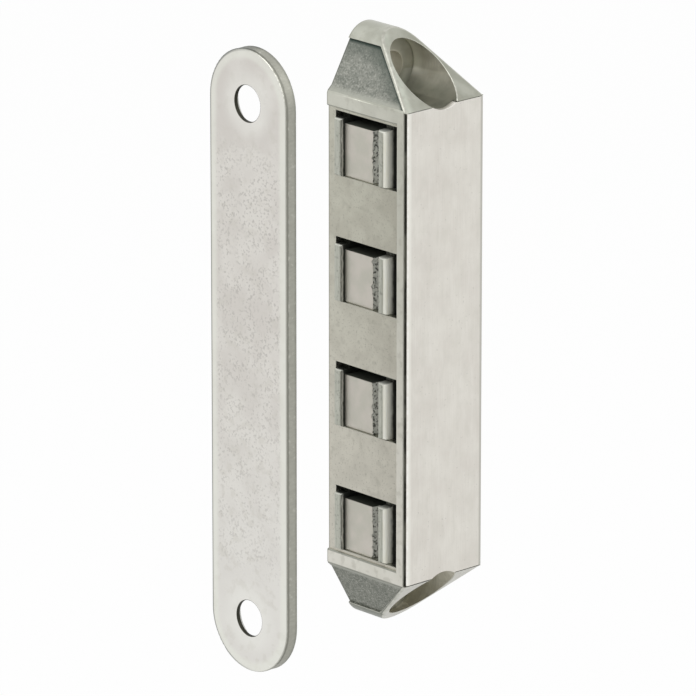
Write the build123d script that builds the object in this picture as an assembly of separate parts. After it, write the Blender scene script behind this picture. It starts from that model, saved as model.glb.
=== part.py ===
from build123d import *
import os
from math import asin, atan2, cos, hypot, radians, sin, tan

# Magnetic catch: a die-cast housing with four floating magnet units, the cover of its
# wide side, and the steel counterplate that the magnets hold.
# +Z runs along the catch. The windowed front faces -Y, the cover faces +X, and the
# housing screws to the carcase by its flat face at X = 0. Sizes are in millimetres.

# ---- housing ----
width = 17.3             # mounting face to the outside of the cover
depth = 16.0             # front lips to the back face
end_rise = 9.7           # how far a wedge end stands beyond its foot
side_slope = 39.3        # slope of a wedge end on the cover side, degrees from X
foot_round = 0.8         # where a wedge end meets the front or the back
relief = 0.35            # the windowed front lies this far behind the lips
lip_gap = 0.45           # between the outermost windows and the lips
strip_width = 2.1        # strip between the windows and the cover
front_wall = 1.2         # wall that the windows go through
chamber_wall = 0.65      # between the outermost chambers and the counterbores
edge_round = 0.3         # inner edges of the lips and the strip

# ---- rough-cast fields sunk in the front and back slopes ----
field_depth = 0.3
field_foot = 0.35        # smooth edge left above the lip
field_rise = 0.9         # the field's floor rises to that edge over this length
field_rim = 0.9          # smooth edge left beside the side slope, at the top
field_corner = 0.5

# ---- screw holes of the housing ----
head_bore = 9.0          # counterbore for the screw head
head_seat = 5.6          # metal under the screw head
screw_bore = 4.5         # clearance for the screw shank
crest_wall = 1.45        # metal between the counterbore and the top of the wedge
slope_wall = 0.55        # metal between the counterbore and the front slope

# ---- windows and magnet units ----
unit_count = 4
unit_pitch = 19.7
window_height = 10.0
window_edge = 1.6        # near side of each window, from the mounting face
window_play = 2.25       # room beside the unit, on the cover side
unit_float = 1.05        # room above the unit
side_gap = 0.05          # between the unit and the near side of its window
pole_thickness = 1.6     # along X
pole_depth = 11.2        # along Y
pole_proud = 0.5         # poles stand in front of the windowed front
pole_round = 0.35        # rolled front edges of a pole plate
shoulder = 1.0           # pole plate beyond its nose, at each end
shoulder_gap = 0.1       # shoulders behind the front wall
chamber_gap = 0.15       # beyond the shoulders, beside the near pole and behind the unit
magnet_setback = 0.85    # magnet behind the pole faces
magnet_drop = 0.75       # top of the magnet below the top of the pole noses
magnet_rebate = 1.9      # step along the magnet's front edge on the cover side
rebate_depth = 1.5

# ---- side cover ----
cover_thickness = 1.0
cover_end_gap = 0.1      # between the cover and the wedge ends
cover_setback = 0.45     # cover's front edge behind the lips
cover_round = 0.3
groove_width = 0.5       # open groove along that edge

# ---- counterplate ----
plate_overhang = 1.5     # beyond each end of the housing
plate_margin = 0.3       # narrower than the housing, on each side
plate_thickness = 2.1
plate_bore = 5.6
plate_bore_inset = 8.3   # bore centre from the end of the plate
plate_land = 0.6         # plain part of the bore, under the cone for the screw's head
plate_round = 0.25       # outline rolled over by the punch, on the side away from the poles
plate_standoff = 21.6    # from the pole faces, as it lies in front of the housing
plate_raise = 1.45       # along Z, as it lies in front of the housing

# ---- places that follow from these sizes ----
front = -depth / 2
back = depth / 2
windowed_front = front + relief
inner_wall = windowed_front + front_wall
cover_inside = width - cover_thickness
cover_front = front + cover_setback

pole_front = windowed_front - pole_proud
pole_back = pole_front + pole_depth
pole_height = window_height - unit_float
shoulder_front = inner_wall + shoulder_gap
window_side = width - strip_width
unit_edge = window_edge + side_gap
unit_side = window_side - window_play
magnet_width = unit_side - unit_edge - 2 * pole_thickness
unit_places = [((unit_count - 1) / 2 - n) * unit_pitch for n in range(unit_count)]

chamber_edge = unit_edge - chamber_gap
chamber_back = pole_back + shoulder_front - pole_front + chamber_gap
chamber_reach = window_height / 2 + shoulder + chamber_gap

bore_rise = end_rise - crest_wall - head_bore / 2
half = unit_places[0] + chamber_reach + chamber_wall + head_bore / 2 - bore_rise
lip_edge = unit_places[0] + window_height / 2 + lip_gap

# The front slope passes the counterbore at the wall's distance, and the crest of the
# wedge is an arc that is tangent to both slopes.
foot_to_bore = hypot(depth / 2, bore_rise)
slope_angle = asin((head_bore / 2 + slope_wall) / foot_to_bore) + atan2(bore_rise, depth / 2)
crest_centre = (end_rise - depth / 2 * sin(slope_angle)) / (1 - cos(slope_angle))
crest_radius = end_rise - crest_centre
crest_side = crest_radius * sin(slope_angle)
crest_start = crest_centre + crest_radius * cos(slope_angle)
side_angle = radians(side_slope)

plate_length = 2 * (half + end_rise + plate_overhang)
plate_width = width - 2 * plate_margin
plate_sink = plate_thickness - plate_land


def block(x, y, z):
    """A box from its (low, high) limits along X, Y and Z."""
    size = [high - low for low, high in (x, y, z)]
    middle = [(high + low) / 2 for low, high in (x, y, z)]
    return Pos(*middle) * Box(*size)


def bar_along_x(diameter, z, start, end):
    """A round bar along X, in the middle of the depth."""
    bar = Cylinder(diameter / 2, end - start, rotation=(0, 90, 0))
    return Pos((start + end) / 2, 0, z) * bar


def at_both_ends(solid):
    """The solid at the +Z end of the housing and its mirror image at the other end."""
    return solid + mirror(solid, about=Plane.XY)


def casting_form():
    """Outer form of the housing: its outline seen along X, cut by its outline seen along Y."""
    start, top = half + crest_start, half + end_rise
    side_view = make_face(
        Curve()
        + Polyline((-crest_side, -start), (front, -half), (front, half), (-crest_side, start))
        + ThreePointArc((-crest_side, start), (0, top), (crest_side, start))
        + Polyline((crest_side, start), (back, half), (back, -half), (crest_side, -start))
        + ThreePointArc((crest_side, -start), (0, -top), (-crest_side, -start))
    )
    feet = side_view.vertices().filter_by(lambda corner: abs(corner.X) > back - 0.01)
    side_view = fillet(feet, foot_round)
    crest_length = width - end_rise / tan(side_angle)
    front_view = make_face(
        Polyline(
            (0, -top), (crest_length, -top), (width, -half),
            (width, half), (crest_length, top), (0, top),
            close=True,
        )
    )
    long_form = extrude(Plane.YZ * side_view, amount=width)
    cross_form = extrude(Plane.XZ * front_view, amount=depth, both=True)
    return long_form & cross_form


def slope_field():
    """Cutter for the sunk field on the front slope of the +Z end."""
    outward = (0, -sin(slope_angle), cos(slope_angle))
    slope = Plane(origin=(0, front, half), x_dir=(1, 0, 0), z_dir=outward)
    top = crest_start / sin(slope_angle)
    foot_side, top_side = (width - s * sin(slope_angle) / tan(side_angle) for s in (field_foot, top))
    outline = make_face(
        Polyline(
            (-1, field_foot), (foot_side - field_rim / 2, field_foot),
            (top_side - field_rim, top), (-1, top),
            close=True,
        )
    )
    corner = outline.vertices().group_by(Axis.Y)[-1].sort_by(Axis.X)[-1]
    outline = fillet(corner, field_corner)
    side = Plane(origin=(-1, front, half), x_dir=slope.y_dir.to_tuple(), z_dir=(1, 0, 0))
    ramp = make_face(
        Polyline(
            (field_foot, 0), (field_foot, -field_depth - 1), (field_foot + field_rise, -field_depth - 1),
            (field_foot + field_rise, -field_depth),
            close=True,
        )
    )
    cutter = extrude(slope * outline, amount=field_depth, both=True)
    return cutter - extrude(side * ramp, amount=width + 2)


def screw_cuts():
    """Counterbores and screw holes at both ends."""
    z = half + bore_rise
    counterbore = bar_along_x(head_bore, z, head_seat, width + 1)
    hole = bar_along_x(screw_bore, z, -1, head_seat + 1)
    return at_both_ends(counterbore + hole)


def housing():
    """Die casting: a chamber behind each window takes its unit from the side, under the cover."""
    body = casting_form()
    body -= block((-1, window_side), (front - 1, windowed_front), (-lip_edge, lip_edge))
    front_edges = body.edges().filter_by_position(Axis.Y, front, front)
    lip_edges = [e for e in front_edges if abs(e.center().Z) < lip_edge + 0.01 and 0 < e.center().X < width]
    body = fillet(lip_edges, edge_round)
    body -= block((cover_inside, width + 1), (cover_front, back + 1), (-half, half))
    body -= block((width - groove_width, width + 1), (front - 1, cover_front), (-half, half))
    for z in unit_places:
        window = (z - window_height / 2, z + window_height / 2)
        chamber = (z - chamber_reach, z + chamber_reach)
        body -= block((window_edge, window_side), (front - 1, inner_wall + 1), window)
        body -= block((chamber_edge, cover_inside + 1), (inner_wall, chamber_back), chamber)
    front_field = slope_field()
    body -= at_both_ends(front_field + mirror(front_field, about=Plane.XZ))
    return body - screw_cuts()


def side_cover():
    """Plate over the wide side, scalloped where the counterbores pass its ends."""
    reach = half - cover_end_gap
    plate = block((cover_inside, width), (cover_front, back), (-reach, reach))
    outer_edges = plate.edges().filter_by(Axis.Z).group_by(Axis.X)[-1]
    return fillet(outer_edges, cover_round) - screw_cuts()


def magnet(z):
    """Block between the two pole plates, standing on the lower edge of the window."""
    low, high = z - window_height / 2, z + window_height / 2 - unit_float - magnet_drop
    near, far = unit_edge + pole_thickness, unit_side - pole_thickness
    face = pole_front + magnet_setback
    body = block((near, far), (face, pole_back), (low, high))
    return body - block((far - magnet_rebate, far + 1), (face - 1, face + rebate_depth), (low - 1, high + 1))


def pole(x, z):
    """Pole plate: its nose reaches through the window, its shoulders keep it inside."""
    low = z - window_height / 2
    nose = block((x, x + pole_thickness), (pole_front, pole_back), (low, low + pole_height))
    nose = fillet(nose.edges().filter_by_position(Axis.Y, pole_front, pole_front), pole_round)
    tall = (low - shoulder, low + pole_height + shoulder)
    return nose + block((x, x + pole_thickness), (shoulder_front, pole_back), tall)


def counterplate():
    """Steel strip with round ends; its screw heads sink into the side that meets the poles."""
    bore = plate_bore / 2
    bore_reach = plate_length / 2 - plate_bore_inset
    face = SlotOverall(plate_length, plate_width, rotation=90)
    for z in (-bore_reach, bore_reach):
        face -= Pos(0, z) * Circle(bore)
    plate = extrude(Plane.XZ * face, amount=plate_thickness)
    outline = plate.faces().sort_by(Axis.Y)[0].outer_wire().edges()
    plate = fillet(outline, plate_round)
    head = Cone(bore + plate_sink, bore, plate_sink, align=(Align.CENTER, Align.CENTER, Align.MIN))
    for z in (-bore_reach, bore_reach):
        plate -= Plane.XZ * Pos(0, z) * head
    return Pos(width / 2, pole_front - plate_standoff, plate_raise) * plate


nodes = {
    "housing": housing(),
    "side_cover": side_cover(),
    "counterplate": counterplate(),
}
for n, z in enumerate(unit_places, start=1):
    nodes[f"pole_inner_{n}"] = pole(unit_edge, z)
    nodes[f"magnet_{n}"] = magnet(z)
    nodes[f"pole_outer_{n}"] = pole(unit_side - pole_thickness, z)

os.makedirs("parts", exist_ok=True)
for name, shape in nodes.items():
    export_step(shape, f"parts/{name}.step")
    print(f"{name}: {shape.volume:.1f} mm3")
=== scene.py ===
# %% [markdown]
# # A magnetic catch and its counterplate
# The catch is a nickel-plated die casting with four floating magnet units, each a magnet
# between two steel pole plates, and a cover on its wide side. The counterplate is a strip
# of plated steel with two holes, which the poles hold.
# The solid model gives every piece its place and size. It is loaded first, and its
# outer box is kept.

# %% Load the solid model
import math

import bmesh
import bpy
from mathutils import Matrix, Vector, noise


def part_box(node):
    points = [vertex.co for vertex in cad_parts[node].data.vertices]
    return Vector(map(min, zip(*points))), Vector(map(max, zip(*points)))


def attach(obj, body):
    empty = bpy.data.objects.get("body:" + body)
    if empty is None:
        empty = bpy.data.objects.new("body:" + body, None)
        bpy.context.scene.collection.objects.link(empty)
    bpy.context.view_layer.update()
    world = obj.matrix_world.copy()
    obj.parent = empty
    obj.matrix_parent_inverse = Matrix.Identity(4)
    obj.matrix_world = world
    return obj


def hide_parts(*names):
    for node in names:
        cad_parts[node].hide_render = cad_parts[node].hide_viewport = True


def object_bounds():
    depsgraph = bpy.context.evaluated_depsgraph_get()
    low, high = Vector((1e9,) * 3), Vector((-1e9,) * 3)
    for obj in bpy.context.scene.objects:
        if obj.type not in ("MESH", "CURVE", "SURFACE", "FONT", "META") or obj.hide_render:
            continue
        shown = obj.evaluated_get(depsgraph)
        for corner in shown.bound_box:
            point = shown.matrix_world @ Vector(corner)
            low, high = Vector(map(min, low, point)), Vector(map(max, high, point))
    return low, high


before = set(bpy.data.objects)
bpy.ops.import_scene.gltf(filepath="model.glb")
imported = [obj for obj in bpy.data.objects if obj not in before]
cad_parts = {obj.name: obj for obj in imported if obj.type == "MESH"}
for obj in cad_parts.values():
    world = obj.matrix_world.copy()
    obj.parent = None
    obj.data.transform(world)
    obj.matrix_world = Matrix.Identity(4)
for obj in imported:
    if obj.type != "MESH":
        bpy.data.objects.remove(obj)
solid_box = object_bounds()
MM = 0.001
X, Y, Z = range(3)
scene = bpy.context.scene
print("pieces in the solid model:", len(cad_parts))
print("box in mm:", [[round(v / MM, 2) for v in corner] for corner in solid_box])

# %% [markdown]
# ## Camera
# The catch is looked at from the cover side and a little above, with a long lens from
# far away, so that its edges stay nearly parallel. The camera is placed by its bearing
# round the object and its height above the horizon. A short sidestep then puts the pair
# in the middle without turning the view, so every upright edge stays upright.

# %% Place the camera
AIM = Vector((0, -8 * MM, 0))
BEARING = math.radians(47.172)
HEIGHT = math.radians(17.145)
DISTANCE = 1.2
SIDESTEP = (0.003185, -0.002952)
LENS, SENSOR = 410.37, 36


def towards(bearing, height):
    """Direction from the object, by a bearing round it and a height above the horizon."""
    return Vector(
        (
            math.sin(bearing) * math.cos(height),
            -math.cos(bearing) * math.cos(height),
            math.sin(height),
        )
    )


back = towards(BEARING, HEIGHT)
right = Vector((math.cos(BEARING), math.sin(BEARING), 0))
up = back.cross(right)

camera = bpy.data.objects.new("camera", bpy.data.cameras.new("camera"))
scene.collection.objects.link(camera)
camera.data.sensor_width = SENSOR
camera.data.lens = LENS
camera.data.clip_start, camera.data.clip_end = 0.05, 20
turn = Matrix((right, up, back)).transposed().to_4x4()
spot = AIM + back * DISTANCE + right * SIDESTEP[0] + up * SIDESTEP[1]
camera.matrix_world = Matrix.Translation(spot) @ turn
scene.camera = camera
print("camera at", [round(v, 4) for v in camera.location])

# %% [markdown]
# ## Writing materials as sums
# A material is a graph of nodes, but most of it is plain arithmetic: a stain times a
# mask, one minus a mask. The Signal class below wraps a socket and gives it the usual
# operators, so that such a line reads as a formula and adds its Math nodes by itself.
# Every other node comes from one method, which sets the node first and then its sockets.

# %% A socket that can be added and multiplied
class Signal:
    def __init__(self, tree, socket):
        self.tree = tree
        self.socket = socket

    def math(self, operation, *terms):
        return self.tree.add("ShaderNodeMath", {"operation": operation}, dict(enumerate(terms)))

    def __add__(self, other):
        return self.math("ADD", self, other)

    def __sub__(self, other):
        return self.math("SUBTRACT", self, other)

    def __rsub__(self, other):
        return self.math("SUBTRACT", other, self)

    def __mul__(self, other):
        return self.math("MULTIPLY", self, other)

    def __pow__(self, other):
        return self.math("POWER", self, other)

    def __abs__(self):
        return self.math("ABSOLUTE", self)

    __radd__ = __add__
    __rmul__ = __mul__

    def at_least(self, floor):
        return self.math("MAXIMUM", self, floor)

    def step(self, low, high):
        """Runs smoothly from 0 at low to 1 at high; the two may be the other way round."""
        return self.tree.add(
            "ShaderNodeMapRange",
            {"interpolation_type": "SMOOTHSTEP"},
            {"Value": self, "From Min": low, "From Max": high},
        )


# %% Colours
def colour(red, green, blue):
    """Linear colour from the three numbers, 0 to 255, that a colour picker shows."""
    levels = [value / 255 for value in (red, green, blue)]
    linear = [v / 12.92 if v <= 0.04045 else ((v + 0.055) / 1.055) ** 2.4 for v in levels]
    return (*linear, 1.0)


def brighter(shade, times):
    """A linear colour made this many times as bright, up to white."""
    return (*[min(1.0, v * times) for v in shade[:3]], 1.0)


# %% A tree of nodes and its one method for them
class Tree:
    """The nodes of a material or of the world."""

    def __init__(self, owner):
        owner.use_nodes = True
        self.nodes = owner.node_tree.nodes
        self.links = owner.node_tree.links

    def add(self, kind, settings, sockets, output=0):
        """A node of this kind: first its settings, then the values or links of its sockets."""
        node = self.nodes.new(kind)
        for name, value in settings.items():
            setattr(node, name, value)
        self.set(node, sockets)
        return Signal(self, node.outputs[output])

    def set(self, node, sockets):
        for name, value in sockets.items():
            if isinstance(value, Signal):
                self.links.new(value.socket, node.inputs[name])
            else:
                node.inputs[name].default_value = value


# %% A material
class Finish(Tree):
    SOCKETS = {"base": "Base Color", "rough": "Roughness", "metal": "Metallic", "normal": "Normal"}

    def __init__(self, name):
        self.material = bpy.data.materials.new(name)
        super().__init__(self.material)
        self.shader = self.nodes["Principled BSDF"]
        self.place = self.add("ShaderNodeTexCoord", {}, {}, "Object")
        self.facing = self.add("ShaderNodeTexCoord", {}, {}, "Normal")

    def part(self, vector, axis):
        """One number of a vector: its X, Y or Z."""
        return self.add("ShaderNodeSeparateXYZ", {}, {"Vector": vector}, axis)

    def xyz(self):
        """The place on the piece as three numbers, in metres."""
        return [self.part(self.place, axis) for axis in (X, Y, Z)]

    def stretched(self, x, y, z):
        """The place on the piece, scaled along each axis; under 1 draws a pattern out."""
        return self.add(
            "ShaderNodeVectorMath", {"operation": "MULTIPLY"}, {0: self.place, 1: (x, y, z)}
        )

    def noise(self, size, detail, vector=None):
        """Cloudy noise with lumps of about this size in metres."""
        return self.add(
            "ShaderNodeTexNoise",
            {},
            {"Vector": vector or self.place, "Scale": 1 / size, "Detail": detail},
        )

    def mix(self, amount, first, second):
        """The first colour at 0 and the second at 1; a Mix node keeps colours in 6, 7 and 2."""
        return self.add(
            "ShaderNodeMix", {"data_type": "RGBA"}, {0: amount, 6: first, 7: second}, 2
        )

    def bump(self, height, distance, strength):
        return self.add(
            "ShaderNodeBump", {}, {"Height": height, "Distance": distance, "Strength": strength}
        )

    def done(self, **signals):
        """Joins the signals to the shader and gives back the material."""
        self.set(self.shader, {self.SOCKETS[key]: value for key, value in signals.items()})
        print("finish", self.material.name, "nodes:", len(self.nodes))
        return self.material


# %% [markdown]
# ## Room
# A plated surface shows the room more than its own colour, so the room is kept plain: a
# pale floor that the camera and the reflections see as nearly white, soft panels for the
# light, and an even pale sky.

# %% Sky
def seen_white(tree, plain, output, amount):
    """Mixes white into the plain shader, by this amount for the camera and reflections."""
    seen, mirrored, through = [
        tree.add("ShaderNodeLightPath", {}, {}, f"Is {kind} Ray")
        for kind in ("Camera", "Glossy", "Transmission")
    ]
    share = tree.add(
        "ShaderNodeMath",
        {"operation": "MULTIPLY", "use_clamp": True},
        {0: seen + mirrored + through, 1: amount},
    )
    white = tree.add("ShaderNodeEmission", {}, {"Strength": 1.0})
    shader = Signal(tree, tree.nodes[plain].outputs[0])
    join = tree.add("ShaderNodeMixShader", {}, {0: share, 1: shader, 2: white})
    tree.set(tree.nodes[output], {"Surface": join})


SKY_STRENGTH = 0.55

scene.world = bpy.data.worlds.new("sky")
sky = Tree(scene.world)
sky.set(sky.nodes["Background"], {"Color": (0.97, 0.985, 1.0, 1.0), "Strength": SKY_STRENGTH})
seen_white(sky, "Background", "World Output", 1.0)
print("sky strength:", SKY_STRENGTH)

# %% Floor
FLOOR_DROP = 32 * MM
FLOOR_REACH = 4.0
FLOOR_WHITE = 0.96

level = solid_box[0].z - FLOOR_DROP
corners = [(-1, -1), (1, -1), (1, 1), (-1, 1)]
floor_mesh = bpy.data.meshes.new("floor")
floor_mesh.from_pydata(
    [(x * FLOOR_REACH, y * FLOOR_REACH, level) for x, y in corners], [], [(0, 1, 2, 3)]
)
floor = bpy.data.objects.new("floor", floor_mesh)
scene.collection.objects.link(floor)

floor_paint = bpy.data.materials.new("pale_floor")
paint = Tree(floor_paint)
paint.set(
    paint.nodes["Principled BSDF"], {"Base Color": (0.9, 0.9, 0.89, 1.0), "Roughness": 0.9}
)
seen_white(paint, "Principled BSDF", "Material Output", FLOOR_WHITE)
floor_mesh.materials.append(floor_paint)
print("floor at", round(level / MM, 1), "mm")


# %% Light panels
def panel(name, bearing, height, distance, size, power):
    """A square light that faces the object, placed by two angles in degrees."""
    lamp = bpy.data.lights.new(name, "AREA")
    lamp.shape, lamp.size, lamp.energy = "SQUARE", size, power
    holder = bpy.data.objects.new(name, lamp)
    way = towards(math.radians(bearing), math.radians(height))
    holder.location = AIM + way * distance
    holder.rotation_euler = way.to_track_quat("Z", "Y").to_euler()
    scene.collection.objects.link(holder)


panel("key_light", bearing=5, height=52, distance=0.9, size=0.6, power=3.0)
panel("side_light", bearing=110, height=40, distance=1.0, size=0.7, power=2.2)
scene.view_settings.view_transform = "Standard"

# %% [markdown]
# ## Rounded rims
# No plated edge is knife sharp, and the light that runs along it tells the eye what the
# metal is. Each piece is a copy of its solid: its flat triangles are joined to whole
# faces, and then its sharp outer edges get a narrow round. Working on the mesh makes the
# rounds part of the shape, where a shader trick would only draw them. The width of each
# round is written on its edge as a weight, so one Bevel modifier makes all of them and
# they meet cleanly at the corners. Where rounds meet, it can leave several points in one
# place, so these are joined afterwards and no empty triangle is left.

# %% Copy a solid
HAIR = 0.001 * MM  # what lies closer than this is in one place
BODY, RIM = range(2)


def one_finish(mesh):
    """Puts every face in the first slot, so that one finish covers the rims too."""
    for face in mesh.faces:
        face.material_index = BODY


def copied(node):
    """The solid's mesh with whole flat faces, as a bmesh."""
    mesh = bmesh.new()
    mesh.from_mesh(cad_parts[node].data)
    bmesh.ops.remove_doubles(mesh, verts=mesh.verts, dist=HAIR)
    bmesh.ops.dissolve_limit(
        mesh, angle_limit=math.radians(0.3), verts=mesh.verts, edges=mesh.edges
    )
    one_finish(mesh)
    return mesh


def middle(edge):
    """Middle of an edge, in millimetres."""
    return (edge.verts[0].co + edge.verts[1].co) / 2 / MM


def stands_out(edge, angle=math.radians(25)):
    """True where two faces meet in an outer corner that turns by more than this angle."""
    return edge.is_manifold and edge.calc_face_angle_signed() > angle


# %% Round the rims
EXACTLY_THERE = 1e-5 * MM  # joins points that coincide and leaves small rounds alone


def rounded(mesh, width_of, segments=2):
    """Rounds the outer corners; width_of gives the width for an edge, in millimetres."""
    weight = mesh.edges.layers.float.new("bevel_weight_edge")
    widths = {edge: width_of(edge) for edge in mesh.edges if stands_out(edge)}
    widest = max(widths.values())
    for edge, width in widths.items():
        edge[weight] = width / widest
    sharp = bpy.data.meshes.new("sharp")
    mesh.to_mesh(sharp)
    mesh.free()
    holder = bpy.data.objects.new("sharp", sharp)
    scene.collection.objects.link(holder)
    for slot_name in ("body", "rim"):
        sharp.materials.append(bpy.data.materials.new(slot_name))
    bevel = holder.modifiers.new("rounds", "BEVEL")
    bevel.limit_method = "WEIGHT"
    bevel.width = widest * MM
    bevel.segments = segments
    bevel.material = RIM
    bevel.use_clamp_overlap = False
    bevel.miter_outer = "MITER_ARC"
    done = bmesh.new()
    done.from_object(holder, bpy.context.evaluated_depsgraph_get())
    for material in list(sharp.materials):
        bpy.data.materials.remove(material)
    bpy.data.objects.remove(holder)
    bpy.data.meshes.remove(sharp)
    bmesh.ops.remove_doubles(done, verts=done.verts, dist=EXACTLY_THERE)
    done.normal_update()
    return done


def evenly_rounded(node, width):
    """A copy of the solid with the same round on every outer edge."""
    return rounded(copied(node), lambda edge: width)


# %% Make a piece of a mesh
SHARP_FROM = math.radians(34)


def piece(name, node, body, slot, mesh, *materials):
    """Turns a worked mesh into the piece that stands for the solid."""
    made = bpy.data.meshes.new(name)
    mesh.normal_update()
    mesh.to_mesh(made)
    mesh.free()
    for material in materials:
        made.materials.append(material)
    made.shade_smooth()
    made.set_sharp_from_angle(angle=SHARP_FROM)
    shape = bpy.data.objects.new(name, made)
    scene.collection.objects.link(shape)
    firm = shape.modifiers.new("flat_faces_stay_flat", "WEIGHTED_NORMAL")
    firm.keep_sharp = True
    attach(shape, body)
    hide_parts(node)
    print(name, "faces:", len(made.polygons))


# %% [markdown]
# ## Cutting faces into a grid
# A rough surface needs points to move, and the flat faces of a copied solid have none.
# Cutting them with evenly spaced planes adds the points and keeps the outline exact,
# where a subdivision surface would pull the corners in.

# %% Cut chosen faces with planes
ON_PLANE = 1e-7


def cut_across(mesh, chosen, axis, place):
    """Cuts the chosen faces with one plane across an axis, at this place in millimetres."""
    spot, way = Vector(), Vector()
    spot[axis] = place * MM
    way[axis] = 1
    faces = [face for face in mesh.faces if chosen(face)]
    edges = {edge for face in faces for edge in face.edges}
    points = {point for edge in edges for point in edge.verts}
    bmesh.ops.bisect_plane(
        mesh,
        geom=faces + list(edges) + list(points),
        dist=ON_PLANE,
        plane_co=spot,
        plane_no=way,
    )


def cut_in_strips(mesh, chosen, axis, low, high, step):
    """Cuts the chosen faces across one axis, every step from low to high, in millimetres."""
    for n in range(int((high - low) / step) + 1):
        cut_across(mesh, chosen, axis, low + n * step)


def lumps(place, size, seed=0):
    """Smooth noise from -1 to 1 with lumps of this size in mm; a seed reads another place."""
    return noise.noise(place / MM / size + Vector((seed * 17.3, seed * 5.1, 0)))


# %% [markdown]
# ## Housing: the casting
# The housing is die cast, plated and then polished where a hand or a tool reaches. Its
# wedge ends keep four sunk fields as rough as they were cast. The counterbores are dull and
# brownish inside, with painted shade and painted light on their walls and floors. Each of
# these zones is found by its place and takes its own finish, and only the fields need real
# bumps.

# %% Sizes of the housing that its zones are found by
WIDTH, HALF_DEPTH = 17.3, 8.0  # in millimetres, as all of these
LIPS, WINDOWED_FRONT, COVER_FRONT = -8.0, -7.65, -7.55  # along Y
WINDOW_WALL_BACK = -6.45
GROOVE_WALL = 16.8
WEDGE_FOOT, CREST_START = 37.1, 44.73  # heights from the middle
BORE_HEIGHT, BORE_RADIUS, BORE_FLOOR = 40.85, 4.5, 5.6
BORE_ZONE = 36  # the counterbores lie beyond this height
SCREW_HOLE_REACH = 2.5
SLOPE = math.radians(59.97)  # of the front and back slopes
SIDE_SLOPE_X = 0.633  # X of the side slope's direction
FIELD, BORE, CHAMBER, GROOVE = range(2, 6)


def below_slope(place):
    """How far a place lies under the smooth front or back slope, in millimetres."""
    x, y, z = place / MM
    return math.sin(SLOPE) * (HALF_DEPTH - abs(y)) + math.cos(SLOPE) * (WEDGE_FOOT - abs(z))


def from_bore(place):
    """How far a place lies from the axis of the nearer counterbore, in millimetres."""
    return math.hypot(place.y / MM, abs(place.z) / MM - BORE_HEIGHT)


print("the windows lie", round(WINDOWED_FRONT - LIPS, 2), "mm behind the lips")


# %% How wide each rim of the housing is
MOUTH_RIM, SIDE_SLOPE_RIM, PLAIN_RIM = 0.12, 0.3, 0.06


def casting_rim(edge):
    """None at the screw hole and at the thin edge over the cover; widest on the side slope."""
    x, y, z = middle(edge)
    bore = from_bore(middle(edge) * MM)
    if bore < SCREW_HOLE_REACH or x > WIDTH - 0.1 and abs(abs(z) - WEDGE_FOOT) < 0.1:
        return 0
    if any(abs(face.normal.x - SIDE_SLOPE_X) < 0.01 for face in edge.link_faces):
        return MOUTH_RIM if bore < BORE_RADIUS + 0.1 else SIDE_SLOPE_RIM
    return PLAIN_RIM


# %% Which finish each face of the housing takes
def casting_zone(face):
    """The finish of a face, by its place and the way it looks."""
    place, way = face.calc_center_median(), face.normal
    x, y, z = place / MM
    height = abs(z)
    off_mounting_face = x > 0.01
    wall_or_floor = abs(way.x) < 0.05 or way.x > 0.95
    near_bore = from_bore(place) < BORE_RADIUS + 0.05 and height > BORE_ZONE
    if wall_or_floor and near_bore and off_mounting_face:
        return BORE
    tilted = abs(way.x) < 0.1 and abs(way.z) > 0.2 and abs(way.y) > 0.4
    if tilted and below_slope(place) > 0.05 and height < CREST_START:
        return FIELD
    # The groove wall takes the painted shade of the groove.
    if way.x > 0.9 and abs(x - GROOVE_WALL) < 0.05 and y < COVER_FRONT + 0.05:
        return GROOVE
    behind_windows = WINDOW_WALL_BACK - 0.01 < y < HALF_DEPTH - 0.1
    if off_mounting_face and behind_windows and height < WEDGE_FOOT - 0.05:
        return CHAMBER
    if z < -CREST_START + 0.3 and abs(way.x) < 0.2:
        return BODY
    return face.material_index


# %% Shape of the housing
FIELD_ROUGHNESS = 0.045
FIELD_SIDES = (0.3, 16.5)
FIELD_MIDDLE, FIELD_REACH = 41, 4

housing_mesh = rounded(copied("housing"), casting_rim, 3)
for face in housing_mesh.faces:
    face.material_index = casting_zone(face)


def on_field(face):
    return face.material_index == FIELD


cut_in_strips(housing_mesh, on_field, X, *FIELD_SIDES, 0.35)
for side in (-1, 1):
    end = side * FIELD_MIDDLE
    cut_in_strips(housing_mesh, on_field, Z, end - FIELD_REACH, end + FIELD_REACH, 0.3)
moved = 0
for point in housing_mesh.verts:
    if all(on_field(face) for face in point.link_faces) and not point.is_boundary:
        way = point.normal.copy()
        lift = 0.6 * lumps(point.co, 1.1) + 0.5 * lumps(point.co, 0.45, 1)
        point.co += way * lift * FIELD_ROUGHNESS * MM
        moved += 1
print("points moved on the rough fields:", moved)
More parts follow.
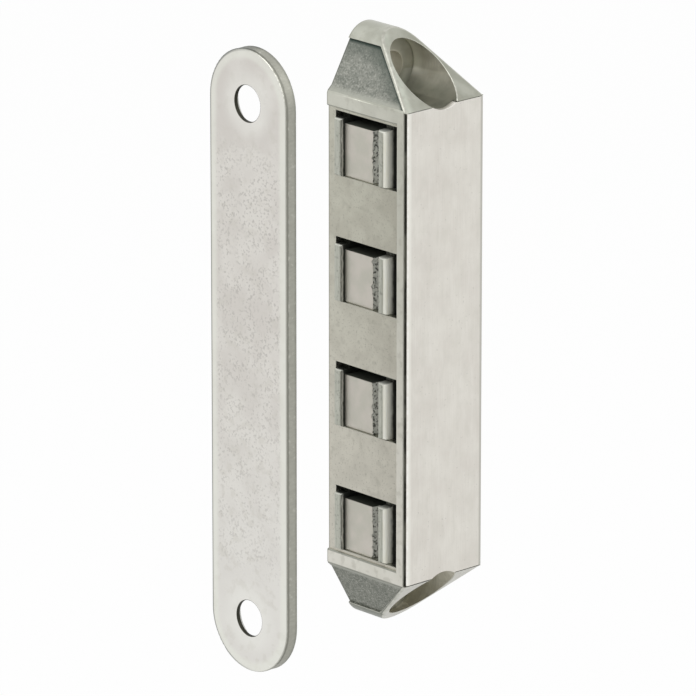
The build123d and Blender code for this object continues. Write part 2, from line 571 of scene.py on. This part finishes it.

# %% [markdown]
# ## Housing: its finishes
# Bright nickel on a casting is a little warm. The windowed front is as it came from the
# plating, dull and blotchy; lips, crest and slopes are rubbed smooth and paler; every rim
# is brightest, partly rubbed by hands and rags and partly a painted highlight. The metal has
# little colour of its own, and this room is nearly white all round, so the shade that a
# tilted face would mirror in a real room is painted on it by the way it looks.

# %% Plated casting
def plated_casting():
    finish = Finish("plated_casting")
    x, y, z = finish.xyz()
    upward = finish.part(finish.facing, Z)
    sideways = finish.part(finish.facing, X).step(0.3, 0.6)
    behind_lips = y.step((LIPS + 0.1) * MM, (WINDOWED_FRONT - 0.05) * MM)
    inside = y.step((WINDOWED_FRONT + 0.05) * MM, (WINDOWED_FRONT + 0.15) * MM)
    recess = behind_lips * (1 - inside)
    low = z.step(30 * MM, -30 * MM)
    clouds = finish.noise(3.2 * MM, 4).step(0.35, 0.65)
    grain = finish.noise(0.32 * MM, 4)
    stains = finish.noise(1.3 * MM, 5).step(0.52, 0.68)

    def cloudy(dark, light):
        return finish.mix(clouds, colour(*dark), colour(*light))

    smooth = cloudy((192, 192, 181), (202, 202, 191))
    smooth = finish.mix(low, smooth, cloudy((209, 207, 197), (218, 216, 207)))
    top = cloudy((174, 175, 163), (190, 191, 180))
    out = (HALF_DEPTH * MM + y) * math.sin(SLOPE)
    from_field = out + (WEDGE_FOOT * MM - abs(z)) * math.cos(SLOPE)
    by_field = from_field.step(1.7 * MM, 0.6 * MM)
    slope = cloudy((156, 157, 145), (172, 173, 162))
    slope = finish.mix(by_field, slope, cloudy((178, 181, 169), (194, 197, 185)))
    smooth = finish.mix(upward.step(0.1, 0.6), smooth, finish.mix(sideways, top, slope))
    downward = finish.mix(sideways, colour(120, 123, 113), colour(196, 195, 186))
    smooth = finish.mix(upward.step(-0.1, -0.6), smooth, downward)

    darker_tone = cloudy((184, 182, 169), (198, 197, 184))
    darker_tone = finish.mix(low, darker_tone, cloudy((197, 194, 183), (209, 206, 195)))
    spots = grain.step(0.58, 0.66) * recess
    base = finish.mix(recess, smooth, darker_tone)
    base = finish.mix(stains * 0.3, base, colour(164, 162, 150))
    base = finish.mix(spots * 0.45, base, colour(150, 148, 137))
    # Painted shade: a dark line along the edge by the mounting face.
    by_mounting_face = x.step(0.32 * MM, 0.1 * MM)
    base = finish.mix(by_mounting_face * 0.45, base, colour(116, 118, 108))
    height = grain * 0.5 + clouds * 0.3 + stains * 0.2
    return finish.done(
        base=base,
        rough=0.33 + recess * 0.14 + clouds * 0.06,
        metal=1.0,
        normal=finish.bump(height, 0.02 * MM, 0.6),
    )


casting_finish = plated_casting()


# %% Bright rims
def rubbed_rim_and_painted_highlight(name, rim_dark_tone, bright):
    """A rim between the two shades: partly rubbed by hands and rags, partly a painted highlight.
    """
    finish = Finish(name)
    rub = finish.noise(0.9 * MM, 3)
    base = finish.mix(rub.step(0.35, 0.65), rim_dark_tone, bright)
    return finish.done(base=base, rough=0.26 + rub * 0.14, metal=1.0)


# The rims of the casting and the cover's front rim carry a painted highlight; the cover's is the
# brighter.
rim_finish = rubbed_rim_and_painted_highlight("rubbed_rim_and_painted_highlight", colour(174, 174, 163), colour(194, 194, 184))
cover_rim_highlight = rubbed_rim_and_painted_highlight("cover_rim_highlight", colour(236, 234, 226), colour(247, 246, 240))


# %% Rough fields
def rough_cast():
    """Light and dark grains, with painted shade: the upper fields darken upwards and towards the
    side slope, and the lower fields are darker.
    """
    finish = Finish("rough_cast")
    x, y, z = finish.xyz()
    inward = (HALF_DEPTH * MM - abs(y)) * math.cos(SLOPE)
    climb = inward + (abs(z) - WEDGE_FOOT * MM) * math.sin(SLOPE)
    to_edge = x + climb * 1.111
    off_top = 1 - climb.step(8.1 * MM, 8.7 * MM)
    off_edge = 1 - to_edge.step(16.0 * MM, 16.8 * MM)
    corner = 1 - off_top * off_edge
    lit_top = 1 - climb.step(4.5 * MM, 8.6 * MM) * 0.45
    lit_edge = 1 - to_edge.step(12 * MM, 16.8 * MM) * 0.6
    shade = 1 - lit_top * lit_edge
    coarse = finish.noise(1.1 * MM, 4)
    fine = finish.noise(0.3 * MM, 4)
    low = z.step(-10 * MM, -30 * MM)
    sharp = 0.45 + low * 0.35
    base = finish.mix(coarse.step(0.3, 0.7), colour(132, 135, 127), colour(154, 155, 147))
    base = finish.mix(fine.step(0.52, 0.66) * sharp, base, colour(190, 191, 183))
    base = finish.mix(fine.step(0.47, 0.34) * sharp, base, colour(84, 90, 82))
    # Painted shade on the upper fields, by how far they climb and how near the side slope they
    # lie, and on the lower fields.
    sheltered = z.step(-38 * MM, 0)
    base = finish.mix(shade * sheltered, base, colour(84, 93, 85))
    base = finish.mix(low * 0.25, base, colour(112, 114, 102))
    base = finish.mix(climb.step(1.7 * MM, 0.5 * MM) * 0.8, base, colour(176, 177, 167))
    # Painted shadow along the steps at the top and side of the upper fields, and painted shade
    # along the edge by the mounting face.
    base = finish.mix(corner * sheltered * 0.9, base, colour(48, 62, 56))
    base = finish.mix(x.step(0.32 * MM, 0.08 * MM) * 0.6, base, colour(80, 84, 76))
    return finish.done(
        base=base,
        rough=0.48 + fine * 0.2,
        metal=0.9,
        normal=finish.bump(fine * 0.7 + coarse * 0.3, 0.06 * MM, 0.8),
    )


field_finish = rough_cast()


# %% Counterbores
def dull_bore():
    """Dull metal with tool marks; painted shade darkens the lower side of the upper bore, the
    floor and the corner, and painted light brightens it above by the floor and in the screw hole.
    """
    finish = Finish("dull_bore")
    x, y, z = finish.xyz()
    off = abs(z) - BORE_HEIGHT * MM
    from_axis = (y * y + off * off) ** 0.5
    upper = z.step(-1 * MM, 1 * MM)
    wall = x.step((BORE_FLOOR + 0.02) * MM, (BORE_FLOOR + 0.2) * MM)
    low_wall = x.step((BORE_FLOOR + 0.4) * MM, (BORE_FLOOR + 0.05) * MM)
    corner = low_wall * from_axis.step(4.2 * MM, 4.48 * MM)
    tool_marks = finish.noise(0.2 * MM, 2, finish.stretched(1.0, 0.1, 0.1))
    patches = finish.noise(1.8 * MM, 4)
    base = finish.mix(patches.step(0.3, 0.7), colour(188, 184, 168), colour(206, 203, 188))
    base = finish.mix(tool_marks.step(0.4, 0.7) * 0.2, base, colour(150, 148, 134))
    # Painted shade on the lower side of the upper bore.
    darker_tone = finish.mix(patches.step(0.25, 0.75), colour(104, 105, 92), colour(122, 121, 107))
    base = finish.mix(off.step(0.5 * MM, -3.6 * MM) * upper, base, darker_tone)
    # Painted light in the screw hole.
    base = finish.mix(from_axis.step(2.5 * MM, 2.2 * MM) * 0.4, base, colour(228, 224, 208))
    # Painted light on the upper wall by the floor; painted shade over the floor and in its corner.
    bright = wall * x.step(8.5 * MM, 6.2 * MM) * upper * off.step(-2.5 * MM, -0.5 * MM)
    base = finish.mix(bright * 0.8, base, colour(242, 241, 228))
    floor_shade = (1 - wall) * from_axis.step(2.3 * MM, 2.6 * MM)
    base = finish.mix(floor_shade * 0.4, base, colour(146, 149, 133))
    base = finish.mix(corner * 0.2, base, colour(84, 84, 72))
    return finish.done(
        base=base,
        rough=0.58 + patches * 0.15,
        metal=0.75,
        normal=finish.bump(tool_marks * 0.4 + patches, 0.02 * MM, 0.5),
    )


bore_finish = dull_bore()


# %% Chambers and groove
def chamber_painted_shade():
    # The walls behind the windows are painted dark as shade, lighter in patches.
    finish = Finish("chamber_painted_shade")
    shade_patches = finish.noise(0.8 * MM, 4)
    shade = colour(84, 84, 76)
    base = finish.mix(shade_patches.step(0.3, 0.7), shade, brighter(shade, 1.7))
    return finish.done(base=base, rough=0.6 + shade_patches * 0.2, metal=0.6)


def painted_groove_shade():
    """Painted shade in the open groove: dark deep down, lighter towards its rim and in patches
    along it.
    """
    finish = Finish("painted_groove_shade")
    y = finish.part(finish.place, Y)
    shade_gaps = finish.noise(1.6 * MM, 4, finish.stretched(1.0, 1.0, 0.35)).step(0.45, 0.62)
    by_rim = y.step((WINDOWED_FRONT - 0.07) * MM, (LIPS + 0.08) * MM)
    base = finish.mix(shade_gaps, colour(72, 72, 64), colour(128, 128, 118))
    base = finish.mix(by_rim, base, colour(168, 168, 158))
    return finish.done(base=base, rough=0.55, metal=0.7)


groove_shade = painted_groove_shade()
casting_finishes = (
    casting_finish, rim_finish, field_finish, bore_finish, chamber_painted_shade(), groove_shade,
)
piece("casting", "housing", "housing", "housing", housing_mesh, *casting_finishes)

# %% [markdown]
# ## Side cover
# The cover is a flat plate, brushed along its length before plating, so its long scratches
# run from end to end and are only a few hundredths of a millimetre wide. Stretched noise
# draws them. Its front edge stands in the open groove, which is painted dark as shade, and
# its rounded front rim carries a painted highlight.

# %% Finish of the cover
def brushed_cover():
    finish = Finish("brushed_cover")
    y = finish.part(finish.place, Y)
    brush = finish.noise(0.16 * MM, 3, finish.stretched(1.0, 1.0, 0.03))
    wide = finish.noise(1.1 * MM, 3, finish.stretched(1.0, 1.0, 0.12))
    clouds = finish.noise(5.5 * MM, 4)
    blotches = finish.noise(1.2 * MM, 5, finish.stretched(1.0, 1.0, 0.6))
    pits = finish.noise(0.42 * MM, 2).step(0.68, 0.74)
    by_back, by_front = y.step(7.25 * MM, 7.6 * MM), y.step(-6.6 * MM, -7.1 * MM)
    base = finish.mix(clouds.step(0.3, 0.7), colour(217, 213, 205), colour(225, 222, 214))
    base = finish.mix(brush.step(0.35, 0.75) * 0.25, base, colour(206, 202, 194))
    base = finish.mix(wide.step(0.5, 0.75) * 0.25, base, colour(233, 230, 224))
    base = finish.mix(blotches.step(0.52, 0.66) * 0.18, base, colour(205, 203, 193))
    base = finish.mix(blotches.step(0.46, 0.34) * 0.18, base, colour(232, 229, 222))
    base = finish.mix(pits * 0.4, base, colour(168, 166, 158))
    # Painted shade by the back edge and painted light by the front edge.
    base = finish.mix(by_back * 0.8, base, colour(180, 179, 171))
    base = finish.mix(by_front * 0.7, base, colour(238, 237, 229))
    return finish.done(
        base=base,
        rough=0.32 + brush * 0.1 + clouds * 0.06,
        metal=1.0,
        normal=finish.bump(brush * 0.5 + wide * 0.2 + blotches * 0.3, 0.012 * MM, 0.5),
    )


# %% Shape of the cover
COVER_RIM = 0.03
IN_GROOVE = 2

cover_mesh = evenly_rounded("side_cover", COVER_RIM)
for face in cover_mesh.faces:
    turned = face.normal.y
    at_front = face.calc_center_median().y < (COVER_FRONT + 0.35) * MM
    # Front faces in the groove take the groove's painted shade; the rounded front rim takes the
    # painted highlight.
    if at_front and turned < -0.97:
        face.material_index = IN_GROOVE
    elif at_front and turned < -0.15:
        face.material_index = RIM
cover_finishes = (brushed_cover(), cover_rim_highlight, groove_shade)
piece("cover", "side_cover", "housing", "cover", cover_mesh, *cover_finishes)

# %% [markdown]
# ## Magnet units
# A pole plate is sheared from steel strip: its front end has fine upright lines and
# rolled edges. The flank of the far pole is bright with painted light, both flanks darken
# with painted shade deeper in the window, and the near pole's flank has a ragged line of
# painted shade; the tops of the poles are lightened with painted light. The magnet between
# two poles is brittle. Its pale cap shows at the front; behind it the magnet is grainy,
# lightened with painted light at its step and painted dark as shade on its top, and small
# chips have broken out of the edge beside the far pole, which makes that shadow ragged.

# %% Finish of the pole plates
# The ragged line of painted shade on a pole's flank lies here, in millimetres:
SHADE_LINE = 8.02  # in front of the middle, and 0.13 behind the front of the poles


def pole_steel(name, flank_painted_light, flank_metal, lit_to, dark_from, torn):
    """Steel of a pole plate, by the painted light and metal of its flank on the cover side.

    Along Y, in millimetres, painted shade starts to darken the flank at lit_to and makes it
    dark from dark_from on. The torn argument is how strongly a ragged line of painted shade
    shows near the flank's front edge.
    """
    finish = Finish(name)
    y = finish.part(finish.place, Y)
    flank = finish.part(finish.facing, X).step(0.3, 0.8)
    top = finish.part(finish.facing, Z).step(0.3, 0.8)
    lines = finish.noise(0.16 * MM, 3, finish.stretched(1.0, 1.0, 0.05))
    patches = finish.noise(1.6 * MM, 3)
    stains = finish.noise(0.5 * MM, 3).step(0.55, 0.68)
    front = finish.mix(lines.step(0.3, 0.7), colour(170, 172, 161), colour(192, 193, 183))
    front = finish.mix(stains * 0.5, front, colour(128, 130, 120))
    side = finish.mix(lines.step(0.3, 0.7), flank_painted_light, brighter(flank_painted_light, 1.12))
    ragged = finish.noise(0.7 * MM, 4, finish.stretched(1.0, 1.0, 0.6)) - 0.5
    deep = (y + ragged * 0.5 * MM).step(lit_to * MM, dark_from * MM)
    base = finish.mix(flank, front, side)
    # Painted light on the top faces, painted shade deeper in the window, and the ragged line of
    # painted shade on the flank.
    base = finish.mix(top, base, colour(214, 215, 206))
    base = finish.mix(deep, base, colour(52, 54, 48))
    from_line = abs(y + ragged * 0.45 * MM + SHADE_LINE * MM)
    ragged_shade = 1 - from_line.step(0.04 * MM, 0.2 * MM)
    base = finish.mix(ragged_shade * flank * torn, base, colour(70, 70, 62))
    return finish.done(
        base=base,
        rough=0.36 + patches * 0.12 + deep * 0.2,
        metal=(1 - flank * (1 - flank_metal)) * (1 - top * 0.5),
        normal=finish.bump(lines, 0.01 * MM, 0.6),
    )


# The far pole's flank is painted light; the near pole's flank carries the ragged line of painted
# shade.
far_pole_finish = pole_steel(
    "far_pole_steel", colour(252, 250, 234), 0.2, lit_to=-7.0, dark_from=-6.2, torn=0
)
near_pole_finish = pole_steel(
    "near_pole_steel", colour(206, 206, 196), 0.5, lit_to=-7.9, dark_from=-7.55, torn=0.85
)


# %% Finishes of the magnets
def magnet_cap():
    finish = Finish("magnet_cap")
    clouds = finish.noise(2.6 * MM, 4)
    fine = finish.noise(0.3 * MM, 3)
    base = finish.mix(clouds.step(0.3, 0.7), colour(198, 196, 185), colour(208, 203, 194))
    return finish.done(
        base=base,
        rough=0.42 + fine * 0.1,
        metal=0.85,
        normal=finish.bump(fine, 0.006 * MM, 0.4),
    )


def magnet_body():
    """Broken magnet: light and dark grains at the step, lightened with painted light where the
    step lies in shade, and a top painted dark as shade.
    """
    finish = Finish("magnet_body")
    grain = finish.noise(0.4 * MM, 4)
    top = finish.part(finish.facing, Z).step(0.3, 0.7)
    broken = finish.mix(grain.step(0.38, 0.5), colour(96, 98, 90), colour(214, 214, 205))
    # The top is painted dark as shade.
    base = finish.mix(top, broken, finish.mix(grain, colour(48, 52, 45), colour(88, 92, 82)))
    return finish.done(
        base=base, rough=0.7 + grain * 0.2, metal=0.2, normal=finish.bump(grain, 0.03 * MM, 0.7)
    )


cap_finish, body_finish = magnet_cap(), magnet_body()

# %% Shape of a magnet
UNIT_RIM = 0.07
CAP, BROKEN = range(2)
CAP_FACE = -7.3
STEP_WIDTH, STEP_ZONE = 1.9, -5.9  # the step ends at -5.8
CHIP = 0.45


def near_step(face):
    """True on the upright faces at the front of a magnet, where its edge is chipped."""
    return face.calc_center_median().y < STEP_ZONE * MM and abs(face.normal.z) < 0.5


def chipped_block(n):
    """A magnet whose edge beside the far pole has lost small chips."""
    low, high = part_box(f"magnet_{n}")
    block = evenly_rounded(f"magnet_{n}", UNIT_RIM)
    step_edge = high.x / MM - STEP_WIDTH
    cut_in_strips(block, near_step, Z, low.z / MM + 0.2, high.z / MM - 0.2, 0.22)
    for point in block.verts:
        if abs(point.co.x / MM - step_edge) < 0.12 and point.co.y < STEP_ZONE * MM:
            along = Vector((0, 0, point.co.z))
            loss = 0.15 + lumps(along, 0.9, n) + 0.8 * lumps(along, 0.35, n + 9)
            point.co.x -= CHIP * max(0.0, loss) * MM
    for face in block.faces:
        front = face.calc_center_median().y < (CAP_FACE + 0.12) * MM
        face.material_index = CAP if front else BROKEN
    return block


# %% Shape of a pole plate, and the four units
def rolled_over(plate, node, roll, wide, deep):
    """Draws the round on the front edge of the cover side this many times as wide and deep."""
    low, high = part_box(node)
    centre = Vector((high.x - roll * MM, low.y + roll * MM, 0))
    for point in plate.verts:
        off = point.co - centre
        if off.x > -HAIR and off.y < HAIR:
            point.co.x += (off.x - roll * MM) * (wide - 1)
            point.co.y += (off.y + roll * MM) * (deep - 1)


def pole_plate(node, rolls_over):
    plate = evenly_rounded(node, UNIT_RIM)
    if rolls_over:
        rolled_over(plate, node, roll=0.35, wide=2, deep=3.6)
    one_finish(plate)
    return plate


for n in range(1, 5):
    unit, near, far = f"unit_{n}", f"pole_inner_{n}", f"pole_outer_{n}"
    piece(f"near_pole_{n}", near, unit, "poles", pole_plate(near, False), near_pole_finish)
    piece(f"far_pole_{n}", far, unit, "poles", pole_plate(far, True), far_pole_finish)
    block = chipped_block(n)
    piece(f"block_{n}", f"magnet_{n}", unit, "magnets", block, cap_finish, body_finish)

# %% [markdown]
# ## Counterplate
# The strip is punched: its face is smooth, the edge rolls over and shines for a third of
# the thickness, and below that the metal has torn and is rough and darker. Round each
# hole the face is smoother and paler, from the washer that was pressed there in the tool.

# %% Sizes of the strip
PLATE_FACE, PLATE_BACK, TEAR = -31.85, -29.75, -31.1
PLATE_MIDDLE = (8.65, 1.45)
HOLE_REACH, HOLE_RADIUS = 40.0, 2.8
ROLL_END = 31.33  # in front of the middle: the shine stops and the tear begins
plate_low, plate_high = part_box("counterplate")
PLATE_RADIUS = (plate_high.x - plate_low.x) / 2 / MM
SPINE_REACH = (plate_high.z - plate_low.z) / 2 / MM - PLATE_RADIUS
print("strip's radius and the reach of its spine:", round(PLATE_RADIUS, 2), round(SPINE_REACH, 2))


# %% Finish of the strip
def punched_steel():
    finish = Finish("punched_steel")
    x, y, z = finish.xyz()
    sideways, turned = finish.part(finish.facing, X), abs(finish.part(finish.facing, Y))
    across, from_middle = x - PLATE_MIDDLE[0] * MM, abs(z - PLATE_MIDDLE[1] * MM)
    along = from_middle - HOLE_REACH * MM
    from_hole = (across * across + along * along) ** 0.5
    beyond = (from_middle - SPINE_REACH * MM).at_least(0.0)
    from_spine = (across * across + beyond * beyond) ** 0.5

    clouds = finish.noise(5.0 * MM, 5).step(0.35, 0.65)
    blotches = finish.noise(1.5 * MM, 5)
    face = finish.mix(clouds, colour(212, 208, 202), colour(222, 219, 213))
    face = finish.mix(z.step(10 * MM, -40 * MM) * 0.6, face, colour(229, 228, 223))
    face = finish.mix(blotches.step(0.52, 0.66) * 0.35, face, colour(203, 200, 191))
    border = from_spine.step((PLATE_RADIUS - 1.9) * MM, (PLATE_RADIUS - 0.9) * MM)
    speck = finish.noise(0.4 * MM, 3).step(0.52, 0.64) * finish.noise(2.5 * MM, 3).step(0.3, 0.55)
    speck = speck * from_middle.step(36 * MM, 29 * MM) * (1 - border)
    speck = speck * (0.35 + z.step(-40 * MM, 20 * MM) * 0.25)
    face = finish.mix(speck, face, colour(178, 175, 169))
    face = finish.mix(border * 0.5, face, colour(234, 236, 226))
    ring = from_hole.step(6.4 * MM, 3.0 * MM)
    face = finish.mix(ring * 0.45, face, colour(238, 238, 232))

    side = 1 - turned.step(0.4, 0.8)
    streaks = finish.noise(0.3 * MM, 3, finish.stretched(1.0, 0.3, 1.0))
    wander = finish.noise(0.7 * MM, 4)
    edge = finish.mix(streaks.step(0.3, 0.75), colour(182, 182, 171), colour(162, 162, 151))
    edge = finish.mix(wander.step(0.58, 0.7) * 0.6, edge, colour(226, 225, 216))
    roll_end = y + wander * 0.35 * MM
    line = (1 - abs(roll_end + ROLL_END * MM).step(0.1 * MM, 0.3 * MM)) * side
    edge = finish.mix(line * 0.9, edge, colour(70, 70, 60))
    arc = from_middle.step(40 * MM, 46 * MM)
    broken = finish.noise(1.2 * MM, 4).step(0.4, 0.55)
    outer = y.step(-30.35 * MM, -29.95 * MM) * (0.3 + broken * 0.25 + arc * 0.2)
    edge = finish.mix(outer, edge, colour(84, 86, 78))

    base = finish.mix(side, face, edge)
    # Painted shade along the left outline and on its rolled edge.
    outline = from_spine.step((PLATE_RADIUS - 0.5) * MM, (PLATE_RADIUS - 0.2) * MM)
    outline = outline * across.step(2 * MM, -6 * MM)
    base = finish.mix(outline * 0.75, base, colour(96, 100, 97))
    rolled = turned.step(0.99, 0.85) * sideways.step(0.3, -0.1)
    base = finish.mix(rolled * 0.55, base, colour(84, 88, 84))
    shiny = turned.step(0.99, 0.85) * sideways.step(0, 0.4)
    base = finish.mix(shiny * 0.6, base, colour(160, 160, 151))
    # Painted shade inside the holes.
    in_hole = from_hole.step((HOLE_RADIUS + 0.12) * MM, (HOLE_RADIUS + 0.04) * MM)
    base = finish.mix(in_hole, base, colour(62, 62, 54))
    height = finish.noise(0.35 * MM, 3) * 0.5 + blotches * 0.3 + streaks * side * 0.3
    return finish.done(
        base=base,
        rough=0.36 + clouds * 0.06 + side * 0.12,
        metal=1.0,
        normal=finish.bump(height, 0.012 * MM, 0.5),
    )


# %% Where the strip is rounded and where it is torn
STRIP_RIM = 0.08


def from_plate_hole(place):
    """How far a place in millimetres lies from the axis of the nearer hole."""
    return math.hypot(place.x - PLATE_MIDDLE[0], abs(place.z - PLATE_MIDDLE[1]) - HOLE_REACH)


def strip_rim(edge):
    """The outline of the near face is rolled over already, so it gets no second round."""
    place = middle(edge)
    return 0 if place.y < PLATE_FACE + 0.3 and from_plate_hole(place) > 4 else STRIP_RIM


def side_wall(face):
    """True on the strip's outline, but not inside its holes."""
    return abs(face.normal.y) < 0.3 and from_plate_hole(face.calc_center_median() / MM) > 5


# %% Shape of the strip
LEVELS = (TEAR, -30.75, -30.4, -30.05)  # cuts that give the torn part points to move
WALL_ENDS, WALL_STEP = (-46.6, 49.6), 0.55
TEAR_DEPTH, TORN_DEPTH, TORN_WAVE = 0.05, 0.03, 0.02

strip = rounded(copied("counterplate"), strip_rim)
for level in LEVELS:
    cut_across(strip, side_wall, Y, level)
cut_in_strips(strip, side_wall, Z, *WALL_ENDS, WALL_STEP)
torn = 0
for point in strip.verts:
    depth = point.co.y / MM
    in_torn_zone = TEAR + 0.1 < depth < PLATE_BACK - 0.12
    if in_torn_zone and all(side_wall(face) for face in point.link_faces):
        wave = lumps(point.co, 1.6) + 0.4 * lumps(point.co, 0.6, 2)
        point.co -= point.normal * (TORN_DEPTH + TORN_WAVE * wave) * MM
        torn += 1
    elif abs(depth - TEAR) < 0.01:
        point.co -= point.normal * TEAR_DEPTH * MM
one_finish(strip)
print("points drawn in on the torn part of the edge:", torn)
piece("strip", "counterplate", "counterplate", "counterplate", strip, punched_steel())
